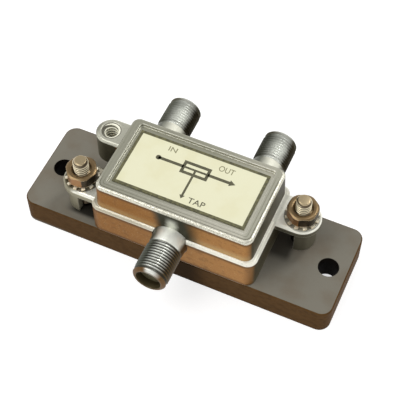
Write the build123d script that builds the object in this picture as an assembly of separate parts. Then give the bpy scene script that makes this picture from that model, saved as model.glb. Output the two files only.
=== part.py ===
from build123d import *
from math import cos, pi, radians, sin, tan
import os

os.makedirs("parts", exist_ok=True)

# Coaxial cable tap, in mm. Z is up, X runs along the two back ports, the single port points to -Y.
# The origin is the middle of the base plate's underside.

# Base plate
plate_l = 89.0
plate_w = 28.3
plate_t = 8.2
plate_corner_r = 3.2
plate_edge = 0.3
plate_hole_pitch = 78.3
plate_hole_r = 2.8

# Housing, stacked from the plate's top
housing_y = -0.45
lower_l = 46.7
lower_w = 27.2
lower_h = 10.0
lower_corner_r = 2.8
ledge_side = 1.25
ledge_front = 0.9
ledge_edge = 0.6
upper_h = 8.3
upper_corner_r = 2.4
upper_draft = 2.2
rim_r = 0.7
wall_t = 2.0
roof_t = 2.1
step_h = 8.2

# Label and the recess it lies in
recess_side = 2.5
recess_front = 2.5
recess_back = 1.6
recess_depth = 0.8
recess_corner_r = 0.8
label_side = 0.88
label_front = 1.33
label_back = 1.53
label_t = 0.3

# Ears and their legs
stud_reach = 6.7
stud_inset = 7.45
ear_r = 5.2
ear_t = 2.2
ear_edge = 0.6
leg_r = 4.3
leg_inner = 0.3

# Screws, washers and nuts
screw_r = 2.083
thread_pitch = 0.79375
screw_clearance = 0.2
screw_top = 25.9
screw_chamfer = 0.35
head_r = 3.9
head_h = 2.6
head_seat = 3.4
head_pocket_clearance = 0.35
washer_t = 0.9
washer_r = 4.6
washer_root_r = 3.7
washer_teeth = 12
washer_tooth_share = 0.55
washer_clearance = 0.1
nut_h = 3.3
nut_flats = 7.94
nut_bore_clearance = 0.05
nut_turn_right = 23.2
nut_turn_left = 7.3

# Ground boss
boss_reach = 4.5
boss_inset = 6.45
boss_r = 4.15
boss_drop = 2.6
boss_h = 9.0
boss_edge = 0.6
ground_r = 2.05
ground_mouth_r = 2.75

# Ports
port_pitch = 28.575
port_z = 15.8
collar_r = 4.95
collar_tip_r = 4.6
port_thread_r = 4.7625
front_collar = 3.9
back_collar = 6.2
front_thread = 9.9
back_thread = 9.5
nose_chamfer = 0.55
port_bore_r = 3.4
seat_depth = 0.2
spigot_r = 3.9
spigot_l = 1.1
insulator_setback = 2.2
insulator_tail = 0.5
insulator_funnel_r = 1.7
contact_r = 0.9
contact_setback = 0.7
contact_bore_r = 0.5
contact_bore_l = 7.0
tail_w = 1.2
tail_t = 0.3
tail_reach = 1.9

# Cover and circuit board
cover_t = 0.8
cover_lip = 0.9
cover_clearance = 0.05
cover_corner_r = 2.3
board_t = 1.6
board_z = 10.8
board_gap = 0.45
post_w = 2.6

# Ferrite ring cores and their windings
core_r = 3.6
core_bore_r = 1.7
core_h = 3.2
wire_r = 0.2
wire_gap = 0.02
current_x = -6.2
current_y = 2.6
current_turns = 7
voltage_x = 6.2
voltage_y = 2.6
voltage_turns = 9
winding_arc = 290

# Resistor and capacitors, chips that lie on the board
resistor_l = 6.3
resistor_w = 3.2
resistor_t = 0.7
resistor_x = 8.5
resistor_y = -5.8
capacitor_l = 3.2
capacitor_w = 1.6
capacitor_t = 1.1
capacitor_x = 14.0
capacitor_y = 3.0
tap_capacitor_x = -5.0
tap_capacitor_y = -6.4

# Levels and places that follow from the sizes above
plate_top = plate_t
upper_l = lower_l - 2 * ledge_side
upper_w = lower_w - 2 * ledge_front
ledge_z = plate_top + lower_h
roof_z = ledge_z + upper_h
step_z = plate_top + step_h
cavity_top = roof_z - roof_t
board_top = board_z + board_t
washer_z = ledge_z
nut_z = washer_z + washer_t
boss_top = roof_z - boss_drop
boss_bottom = boss_top - boss_h
boss_x = -(upper_l / 2 + boss_reach)
boss_y = housing_y + lower_w / 2 - boss_inset
front_face = housing_y - upper_w / 2
back_face = housing_y + upper_w / 2
front_seat = front_face + seat_depth
back_seat = back_face - seat_depth
front_nose = front_seat - front_collar - front_thread
back_nose = back_seat + back_collar + back_thread
inner_l = lower_l - 2 * wall_t
inner_w = lower_w - 2 * wall_t
upper_inner_l = upper_l - 2 * wall_t
upper_inner_w = upper_w - 2 * wall_t
stud_x = upper_l / 2 + stud_reach
stud_y = lower_w / 2 - stud_inset
stud_right = (stud_x, housing_y + stud_y)
stud_left = (-stud_x, housing_y - stud_y)
narrowing = 2 * upper_h * tan(radians(upper_draft))
recess_l = upper_l - narrowing - 2 * recess_side
recess_w = upper_w - narrowing - recess_front - recess_back
recess_y = housing_y + (recess_front - recess_back) / 2
nut_travel = screw_top - nut_z

# The ports: name, x, which way the port points (-1 front, 1 back), seat plane, collar and thread lengths
PORTS = {
    "in": (-port_pitch / 2, 1, back_seat, back_collar, back_thread),
    "out": (port_pitch / 2, 1, back_seat, back_collar, back_thread),
    "tap": (0.0, -1, front_seat, front_collar, front_thread),
}


def block(length, width, height, corner_r, z, y=0.0, draft=0.0):
    """An upright block with rounded corners that narrows upward by the draft angle."""
    face = Pos(0, y, z) * RectangleRounded(length, width, corner_r)
    return extrude(face, height, taper=draft)


def slab(length, width, height, z, x=0.0, y=0.0):
    """A plain block that stands on z, centred on x and y."""
    return Pos(x, y, z) * Box(length, width, height, align=(Align.CENTER, Align.CENTER, Align.MIN))


def disc(r, height, x, y, z):
    """An upright cylinder that stands on z."""
    return Pos(x, y, z) * Cylinder(r, height, align=(Align.CENTER, Align.CENTER, Align.MIN))


def rod_y(r, y_from, y_to, x, z):
    """A cylinder along Y between two planes."""
    low = min(y_from, y_to)
    rod = Cylinder(r, abs(y_to - y_from), align=(Align.CENTER, Align.CENTER, Align.MIN))
    return Pos(x, low, z) * Rot(-90, 0, 0) * rod


def edges_at(shape, z, tolerance=0.01):
    """The edges that lie wholly in one level plane."""
    found = []
    for edge in shape.edges():
        box = edge.bounding_box()
        if abs(box.min.Z - z) < tolerance and abs(box.max.Z - z) < tolerance:
            found.append(edge)
    return found


def turned(profile, x, y, z, direction):
    """A body of revolution about the port's axis. The profile holds (radius, distance from the seat) pairs."""
    wire = Polyline(*[(r, along) for r, along in profile], close=True)
    body = revolve(make_face(wire), Axis.Y)
    if direction < 0:
        body = Rot(0, 0, 180) * body
    return Pos(x, y, z) * body


def base_plate():
    plate = block(plate_l, plate_w, plate_t, plate_corner_r, 0)
    plate = chamfer(edges_at(plate, plate_t), plate_edge)
    for side in (-1, 1):
        plate -= disc(plate_hole_r, plate_t, side * plate_hole_pitch / 2, 0, 0)
    for x, y in (stud_left, stud_right):
        plate -= disc(head_r + head_pocket_clearance, head_seat, x, y, 0)
        plate -= disc(screw_r + screw_clearance, plate_t, x, y, 0)
    return plate


def ear(x, y):
    """An ear with its leg, open toward the housing wall. It points away from the middle."""
    side = 1 if x > 0 else -1
    root_x = side * (upper_l / 2)
    under = ledge_z - ear_t
    plate = slab(abs(x - root_x), 2 * ear_r, ear_t, under, (x + root_x) / 2, y)
    plate += disc(ear_r, ear_t, x, y, under)
    rim = [e for e in edges_at(plate, ledge_z) if abs(e.center().X - root_x) > 0.5]
    plate = chamfer(rim, ear_edge)
    leg = disc(leg_r, under - plate_top, x, y, plate_top)
    outer_x = x + side * (leg_r - leg_inner)
    return plate + (leg & slab(2 * leg_r, 2 * leg_r, under - plate_top, plate_top, outer_x, y))


def ground_boss():
    boss = disc(boss_r, boss_h, boss_x, boss_y, boss_bottom)
    inner_x = -upper_l / 2 + wall_t / 2
    boss += slab(abs(boss_x - inner_x), 2 * boss_r, boss_h, boss_bottom, (boss_x + inner_x) / 2, boss_y)
    rim = [e for e in edges_at(boss, boss_top) if abs(e.center().X - inner_x) > 0.5]
    return chamfer(rim, boss_edge)


def housing():
    lower = block(lower_l, lower_w, lower_h, lower_corner_r, plate_top, housing_y)
    lower = chamfer(edges_at(lower, ledge_z), ledge_edge)
    upper = block(upper_l, upper_w, upper_h, upper_corner_r, ledge_z, housing_y, upper_draft)
    upper = fillet(edges_at(upper, roof_z), rim_r)
    body = lower + upper
    body += ground_boss()
    for x, y in (stud_left, stud_right):
        body += ear(x, y)
    # the hollow, wider below the step, with a seat for the cover at its mouth
    body -= slab(inner_l, inner_w, step_h, plate_top, y=housing_y)
    body -= slab(upper_inner_l, upper_inner_w, cavity_top - step_z, step_z, y=housing_y)
    lip = 2 * cover_lip
    body -= block(inner_l + lip, inner_w + lip, cover_t, cover_corner_r, plate_top, housing_y)
    # a post in each corner holds the circuit board down
    for side_x in (-1, 1):
        for side_y in (-1, 1):
            post_x = side_x * (upper_inner_l - post_w) / 2
            post_y = housing_y + side_y * (upper_inner_w - post_w) / 2
            body += slab(post_w, post_w, cavity_top - board_top, board_top, post_x, post_y)
    body -= block(recess_l, recess_w, recess_depth, recess_corner_r, roof_z - recess_depth, recess_y)
    for x, direction, seat, collar, thread in PORTS.values():
        body -= rod_y(collar_r, seat, seat + direction * lower_w / 4, x, port_z)
        body -= rod_y(spigot_r, seat, seat - direction * 2 * wall_t, x, port_z)
    for x, y in (stud_left, stud_right):
        body -= disc(screw_r + screw_clearance, ledge_z - plate_top, x, y, plate_top)
    body -= disc(ground_r, boss_h, boss_x, boss_y, boss_bottom)
    mouth = ground_mouth_r - ground_r
    body -= Pos(boss_x, boss_y, boss_top - mouth) * Cone(
        ground_r, ground_mouth_r, mouth, align=(Align.CENTER, Align.CENTER, Align.MIN)
    )
    return body


def cover_plate():
    lip = 2 * (cover_lip - cover_clearance)
    corner_r = cover_corner_r - cover_clearance
    return block(inner_l + lip, inner_w + lip, cover_t, corner_r, plate_top, housing_y)


def label_plate():
    length = recess_l - 2 * label_side
    width = recess_w - label_front - label_back
    y = recess_y + (label_front - label_back) / 2
    return slab(length, width, label_t, roof_z - recess_depth, y=y)


def port_barrel(name):
    x, direction, seat, collar, thread = PORTS[name]
    length = collar + thread
    profile = [
        (port_bore_r, -spigot_l),
        (spigot_r, -spigot_l),
        (spigot_r, 0),
        (collar_r, 0),
        (collar_tip_r, collar),
        (port_thread_r, collar),
        (port_thread_r, length - nose_chamfer),
        (port_thread_r - nose_chamfer, length),
        (port_bore_r, length),
    ]
    return turned(profile, x, seat, port_z, direction)


def port_insulator(name):
    x, direction, seat, collar, thread = PORTS[name]
    front = collar + thread - insulator_setback
    funnel = insulator_funnel_r - contact_r
    profile = [
        (contact_r, -spigot_l - insulator_tail),
        (port_bore_r, -spigot_l - insulator_tail),
        (port_bore_r, front),
        (insulator_funnel_r, front),
        (contact_r, front - funnel),
    ]
    return turned(profile, x, seat, port_z, direction)


def port_contact(name):
    x, direction, seat, collar, thread = PORTS[name]
    front = collar + thread - insulator_setback - (insulator_funnel_r - contact_r) - contact_setback
    back = -spigot_l - insulator_tail
    profile = [
        (0, back),
        (contact_r, back),
        (contact_r, front),
        (contact_bore_r, front),
        (contact_bore_r, front - contact_bore_l),
        (0, front - contact_bore_l),
    ]
    socket = turned(profile, x, seat, port_z, direction)
    # a flat tail runs back from the socket and down to the board
    reach = insulator_tail + tail_reach
    middle_y = seat - direction * (spigot_l + reach / 2)
    end_y = seat - direction * (spigot_l + reach)
    run = slab(tail_w, reach, tail_t, port_z - tail_t / 2, x, middle_y)
    drop = slab(tail_w, tail_t, port_z - board_top, board_top, x, end_y)
    return socket + run + drop


def core_places():
    return {
        "current": (current_x, current_y, current_turns),
        "voltage": (voltage_x, voltage_y, voltage_turns),
    }


def ferrite_core(name):
    x, y, turns = core_places()[name]
    lift = 2 * (wire_r + wire_gap)
    return disc(core_r, core_h, x, y, board_top + lift) - disc(core_bore_r, core_h, x, y, board_top + lift)


def winding_points(name):
    """The wire's corners: down the bore, out below the ring, up its outside and back in above it, turn by turn."""
    x, y, turns = core_places()[name]
    inner = core_bore_r - wire_r - wire_gap
    outer = core_r + wire_r + wire_gap
    low = board_top + wire_r + wire_gap
    high = low + core_h + 2 * (wire_r + wire_gap)
    step = radians(winding_arc) / turns
    first = -radians(winding_arc) / 2 + pi / 2

    def at(r, angle, z):
        return (x + r * cos(angle), y + r * sin(angle), z)

    points = [at(outer + 2 * wire_r, first, board_top), at(outer + 2 * wire_r, first, high)]
    for turn in range(turns):
        angle = first + turn * step
        points.append(at(inner, angle, high))
        points.append(at(inner, angle, low))
        points.append(at(outer, angle + step / 2, low))
        points.append(at(outer, angle + step / 2, high))
    last = first + turns * step
    points.pop()
    points.pop()
    points.append(at(outer + 2 * wire_r, last, low))
    return points


def winding(name):
    """The wire, six-sided in section."""
    points = winding_points(name)
    section = Plane(points[0], z_dir=Vector(*points[1]) - Vector(*points[0])) * RegularPolygon(wire_r, 6)
    return sweep(section, Polyline(*points), transition=Transition.RIGHT)


def terminating_resistor():
    return slab(resistor_l, resistor_w, resistor_t, board_top, resistor_x, resistor_y)


def capacitor(name):
    places = {
        "in": (-capacitor_x, capacitor_y),
        "out": (capacitor_x, capacitor_y),
        "tap": (tap_capacitor_x, tap_capacitor_y),
    }
    x, y = places[name]
    return slab(capacitor_l, capacitor_w, capacitor_t, board_top, x, y)


def circuit_board():
    return slab(inner_l - 2 * board_gap, inner_w - 2 * board_gap, board_t, board_z, y=housing_y)


def machine_screw(x, y):
    head = disc(head_r, head_h, x, y, head_seat - head_h)
    shank = disc(screw_r, screw_top - head_seat, x, y, head_seat)
    shank = chamfer(edges_at(shank, screw_top), screw_chamfer)
    return head + shank


def tooth_washer(x, y):
    """A lock washer with teeth around its outside."""
    pitch = 2 * pi / washer_teeth
    tooth = pitch * washer_tooth_share
    outline = []
    for index in range(washer_teeth):
        middle = index * pitch
        outline.append((washer_root_r, middle - tooth / 2))
        outline.append((washer_r, middle - tooth / 3))
        outline.append((washer_r, middle + tooth / 3))
        outline.append((washer_root_r, middle + tooth / 2))
    star = Polyline(*[(r * cos(angle), r * sin(angle)) for r, angle in outline], close=True)
    ring = extrude(Pos(x, y, washer_z) * make_face(star), washer_t)
    return ring - disc(screw_r + washer_clearance, washer_t, x, y, washer_z)


def hex_nut(x, y, turn):
    corner_r = nut_flats / 2 / cos(pi / 6)
    hexagon = Pos(x, y, nut_z) * Rot(0, 0, turn) * RegularPolygon(corner_r, 6)
    nut = extrude(hexagon, nut_h)
    # the top corners are turned down to the width across the flats
    drop = (corner_r - nut_flats / 2) * tan(radians(30))
    round_off = disc(corner_r, nut_h - drop, x, y, nut_z)
    round_off += Pos(x, y, nut_z + nut_h - drop) * Cone(
        corner_r, nut_flats / 2, drop, align=(Align.CENTER, Align.CENTER, Align.MIN)
    )
    nut &= round_off
    return nut - disc(screw_r + nut_bore_clearance, nut_h, x, y, nut_z)


pieces = {
    "base_plate": base_plate(),
    "housing": housing(),
    "cover_plate": cover_plate(),
    "label_plate": label_plate(),
    "circuit_board": circuit_board(),
    "terminating_resistor": terminating_resistor(),
    "screw_left": machine_screw(*stud_left),
    "screw_right": machine_screw(*stud_right),
    "washer_left": tooth_washer(*stud_left),
    "washer_right": tooth_washer(*stud_right),
    "nut_left": hex_nut(*stud_left, nut_turn_left),
    "nut_right": hex_nut(*stud_right, nut_turn_right),
}
for name in PORTS:
    pieces["port_" + name + "_barrel"] = port_barrel(name)
    pieces["port_" + name + "_insulator"] = port_insulator(name)
    pieces["port_" + name + "_contact"] = port_contact(name)
    pieces["capacitor_" + name] = capacitor(name)
for name in core_places():
    pieces[name + "_core"] = ferrite_core(name)
    pieces[name + "_winding"] = winding(name)

for name, shape in pieces.items():
    export_step(shape, "parts/" + name + ".step")

print("nut travel mm", round(nut_travel, 4), "turns", round(nut_travel / thread_pitch, 4))
print("stud right", stud_right, "stud left", stud_left, "nose", front_nose, back_nose)
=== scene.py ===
import logging
from dataclasses import dataclass, replace
from enum import Enum
from functools import cached_property
from math import ceil, cos, floor, pi, radians, sin, tan
from typing import Callable, Optional, Sequence, Union

import bmesh
import bpy
from mathutils import Matrix, Vector


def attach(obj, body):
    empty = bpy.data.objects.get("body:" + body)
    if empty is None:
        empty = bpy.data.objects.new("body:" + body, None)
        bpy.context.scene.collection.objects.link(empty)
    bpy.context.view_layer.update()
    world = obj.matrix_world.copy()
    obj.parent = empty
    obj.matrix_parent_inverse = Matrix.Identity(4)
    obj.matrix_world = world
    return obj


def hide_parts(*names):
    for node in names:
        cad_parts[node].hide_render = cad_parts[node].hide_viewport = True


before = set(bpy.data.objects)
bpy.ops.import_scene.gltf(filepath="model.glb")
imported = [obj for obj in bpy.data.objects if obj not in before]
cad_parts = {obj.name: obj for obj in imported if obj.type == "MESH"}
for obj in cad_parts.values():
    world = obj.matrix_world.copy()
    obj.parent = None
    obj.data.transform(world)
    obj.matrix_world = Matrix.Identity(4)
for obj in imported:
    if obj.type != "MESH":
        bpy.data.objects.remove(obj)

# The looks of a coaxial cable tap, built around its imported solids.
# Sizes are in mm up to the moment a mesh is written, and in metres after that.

log = logging.getLogger("cable_tap")

MM = 0.001
LEAD = 0.79375
WELD = 0.0004 * MM
EDGE_SAMPLES = 6
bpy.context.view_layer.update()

Colour = tuple[float, float, float]
Span = tuple[float, float]
Window = tuple[Span, Span]
Profile = Sequence[tuple[float, float]]


def ink(red: int, green: int, blue: int) -> Colour:
    """Turns a colour of 0 to 255 per channel into scene light.

    Args:
        red, green, blue: the colour as a screen shows it.

    Returns:
        The same colour in linear values.
    """
    def linear(value: int) -> float:
        """One channel."""
        share = value / 255
        return share / 12.92 if share <= 0.04045 else ((share + 0.055) / 1.055) ** 2.4
    return linear(red), linear(green), linear(blue)


# ---------------------------------------------------------------- shader maths


def _operator(operation: str, reflected: bool = False) -> Callable[["Signal", "Value"], "Signal"]:
    """Makes an operator that adds one Math node.

    Args:
        operation: the node's operation.
        reflected: whether the other value comes first.

    Returns:
        The operator, as a method of Signal.
    """
    def method(self: "Signal", other: "Value") -> "Signal":
        """Adds the node."""
        return self.math(operation, *((other, self) if reflected else (self, other)))
    return method


class Signal:
    """One output socket of a shader, on which Python's operators work."""

    def __init__(self, graph: "Graph", socket: bpy.types.NodeSocket) -> None:
        """Keeps the graph and the socket."""
        self.graph, self.socket = graph, socket

    def math(self, operation: str, *values: "Value", clamp: bool = False) -> "Signal":
        """Adds one Math node."""
        settings = {"operation": operation, "use_clamp": clamp}
        return self.graph.node("ShaderNodeMath", settings, dict(enumerate(values)))[0]

    __add__, __radd__ = _operator("ADD"), _operator("ADD", True)
    __sub__, __rsub__ = _operator("SUBTRACT"), _operator("SUBTRACT", True)
    __mul__, __rmul__ = _operator("MULTIPLY"), _operator("MULTIPLY", True)
    __truediv__, __pow__ = _operator("DIVIDE"), _operator("POWER")
    least, most = _operator("MINIMUM"), _operator("MAXIMUM")

    def __abs__(self) -> "Signal":
        """The size of self without its sign."""
        return self.math("ABSOLUTE", self)

    def clamped(self) -> "Signal":
        """self, held between 0 and 1."""
        return self.math("ADD", self, 0.0, clamp=True)

    def reach(self, other: "Value") -> "Signal":
        """The distance that self one way and other across it make together."""
        return (self * self + other * other) ** 0.5

    def turn(self, up: "Value") -> "Signal":
        """The angle of the direction (up, self), in degrees from up."""
        return self.math("ARCTAN2", self, up) * (180 / pi)

    def towards(self, other: "Value", share: "Value") -> "Signal":
        """self where share is 0, and other where it is 1."""
        return self + (other - self) * share

    def between(self, low: float, high: float) -> "Signal":
        """A soft step.

        Args:
            low: where the step is 0.
            high: where the step is 1. It may be the smaller of the two.

        Returns:
            The step, 0 to 1.
        """
        settings = {"interpolation_type": "SMOOTHSTEP"}
        ends = {1: min(low, high), 2: max(low, high)}
        step = self.graph.node("ShaderNodeMapRange", settings, {0: self, **ends})[0]
        return step if low < high else 1 - step

    def window(self, rise: Span, fall: Span) -> "Signal":
        """1 from the end of one soft step to the start of another."""
        return self.between(*rise) * self.between(fall[1], fall[0])


Value = Union[Signal, float]
Tone = Union[Signal, Colour]


class Outputs:
    """The output sockets of one node, found by number or name."""

    def __init__(self, graph: "Graph", node: bpy.types.Node) -> None:
        """Keeps the graph and the node."""
        self.graph, self.made = graph, node

    def __getitem__(self, key: Union[int, str]) -> Signal:
        """The output with that number or name."""
        return Signal(self.graph, self.made.outputs[key])


class Graph:
    """The node tree of one material or of the world."""

    def __init__(self, tree: bpy.types.NodeTree, output: str) -> None:
        """Empties the tree and adds its output node.

        Args:
            tree: the tree to build in.
            output: the type of the output node.
        """
        self.tree = tree
        tree.nodes.clear()
        self.output = tree.nodes.new(output)

    def node(
        self, kind: str, settings: Optional[dict] = None, inputs: Optional[dict] = None
    ) -> Outputs:
        """Adds one node.

        Args:
            kind: the node's type.
            settings: its settings, which are set first.
            inputs: values or signals for its sockets, by number or name.

        Returns:
            The node's outputs.
        """
        node = self.tree.nodes.new(kind)
        for name, value in (settings or {}).items():
            setattr(node, name, value)
        for key, value in (inputs or {}).items():
            self.feed(node.inputs[key], value)
        return Outputs(self, node)

    def feed(self, socket: bpy.types.NodeSocket, value: Union[Value, Sequence[float]]) -> None:
        """Links a signal to a socket, or sets the socket's own value.

        Args:
            socket: the socket.
            value: the signal, number, vector or colour.
        """
        if isinstance(value, Signal):
            self.tree.links.new(value.socket, socket)
        else:
            socket.default_value = (*value, 1.0) if socket.type == "RGBA" else value

    def finish(self, shader: Signal) -> None:
        """Links the last shader to the output."""
        self.feed(self.output.inputs[0], shader)

    def split(self, vector: Signal) -> tuple[Signal, ...]:
        """The x, y and z of a vector."""
        parts = self.node("ShaderNodeSeparateXYZ", None, {0: vector})
        return parts[0], parts[1], parts[2]

    @cached_property
    def place(self) -> Signal:
        """The place on the object, in mm."""
        raw = self.node("ShaderNodeTexCoord")["Object"]
        return self.node("ShaderNodeVectorMath", {"operation": "SCALE"}, {0: raw, 3: 1 / MM})[0]

    @cached_property
    def axes(self) -> tuple[Signal, ...]:
        """The x, y and z of the place, in mm."""
        return self.split(self.place)

    @cached_property
    def facing(self) -> tuple[Signal, ...]:
        """The x, y and z of the direction that the surface faces, each -1 to 1."""
        return self.split(self.node("ShaderNodeTexCoord")["Normal"])

    def stretched(self, along: Sequence[float]) -> Signal:
        """The place, scaled apart on each axis."""
        settings = {"operation": "MULTIPLY"}
        return self.node("ShaderNodeVectorMath", settings, {0: self.place, 1: along})[0]

    def noise(
        self, size: float, detail: float = 2, rough: float = 0.5, at: Optional[Signal] = None
    ) -> Signal:
        """Cloudy noise.

        Args:
            size: how wide a patch is, in mm.
            detail: how many finer layers it has.
            rough: how strong those are.
            at: the place to read it at.

        Returns:
            The noise, about 0.5 in the middle.
        """
        sockets = {"Vector": at or self.place, "Scale": 1 / size, "Detail": detail}
        sockets["Roughness"] = rough
        return self.node("ShaderNodeTexNoise", {"normalize": True}, sockets)[0]

    def mix(self, first: Tone, second: Tone, share: Value) -> Signal:
        """The first colour where share is 0, and the second where it is 1."""
        settings = {"data_type": "RGBA", "clamp_factor": True}
        return self.node("ShaderNodeMix", settings, {0: share, 6: first, 7: second})[2]

    def layers(self, base: Tone, *coats: tuple[Tone, Value]) -> Tone:
        """Lays colours over a base.

        Args:
            base: the lowest colour.
            coats: each colour with how much of it shows, from the lowest up.

        Returns:
            The colour that is seen.
        """
        for tone, share in coats:
            base = self.mix(base, tone, share)
        return base

    def inset(self, half_x: float, half_y: float, corner: float, middle_y: float) -> Signal:
        """How far inside a rounded rectangle the place lies, seen from above.

        Args:
            half_x, half_y: half its size, in mm.
            corner: its corner radius.
            middle_y: the y of its middle.

        Returns:
            The distance in mm, negative outside.
        """
        side = abs(self.axes[0]) - (half_x - corner)
        end = abs(self.axes[1] - middle_y) - (half_y - corner)
        return corner - side.most(0.0).reach(end.most(0.0)) - side.most(end).least(0.0)

    def soft_normal(self, radius: float) -> Signal:
        """The normal with edges rounded over by radius, in mm."""
        return self.node("ShaderNodeBevel", {"samples": EDGE_SAMPLES}, {"Radius": radius * MM})[0]

    def edge(self, soft: Signal) -> Signal:
        """How near an edge the surface is.

        Args:
            soft: the normal with edges rounded over.

        Returns:
            0 on a face, up to 1 where the soft normal leans away from the true one.
        """
        sockets = {0: soft, 1: self.node("ShaderNodeNewGeometry")["Normal"]}
        dot = self.node("ShaderNodeVectorMath", {"operation": "DOT_PRODUCT"}, sockets)[1]
        return dot.between(0.995, 0.86)

    def bump(
        self, height: Signal, depth: float, strength: float, normal: Optional[Signal] = None
    ) -> Signal:
        """A bumped normal.

        Args:
            height: 0 to 1.
            depth: how deep that is, in mm.
            strength: how much of it shows.
            normal: the normal below it.

        Returns:
            The new normal.
        """
        sockets = {"Height": height, "Distance": depth * MM, "Strength": strength}
        if normal is not None:
            sockets["Normal"] = normal
        return self.node("ShaderNodeBump", None, sockets)[0]

    def surface(self, **sockets: Union[Signal, float, Colour]) -> None:
        """Adds the shader of a solid surface. An underscore in a name stands for a space."""
        named = {name.replace("_", " "): value for name, value in sockets.items()}
        self.finish(self.node("ShaderNodeBsdfPrincipled", None, named)[0])


# ---------------------------------------------------------------- finishes


@dataclass(frozen=True)
class Finish:
    """A surface finish. Each kind paints its own nodes."""

    name: str

    def paint(self, graph: Graph) -> None:
        """Builds the nodes of this finish."""
        raise NotImplementedError

    def material(self) -> bpy.types.Material:
        """Makes the finish into a material, once.

        Returns:
            The material.
        """
        found = bpy.data.materials.get(self.name)
        if found is None:
            found = bpy.data.materials.new(self.name)
            found.use_nodes = True
            self.paint(Graph(found.node_tree, "ShaderNodeOutputMaterial"))
        return found

    def dress(self, *nodes: str) -> None:
        """Gives the finish to solids that keep their own shape.

        Args:
            nodes: the solids' names.
        """
        for name in nodes:
            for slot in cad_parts[name].material_slots:
                slot.material = self.material()
            log.info("dressed %s in %s", name, self.name)


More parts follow.
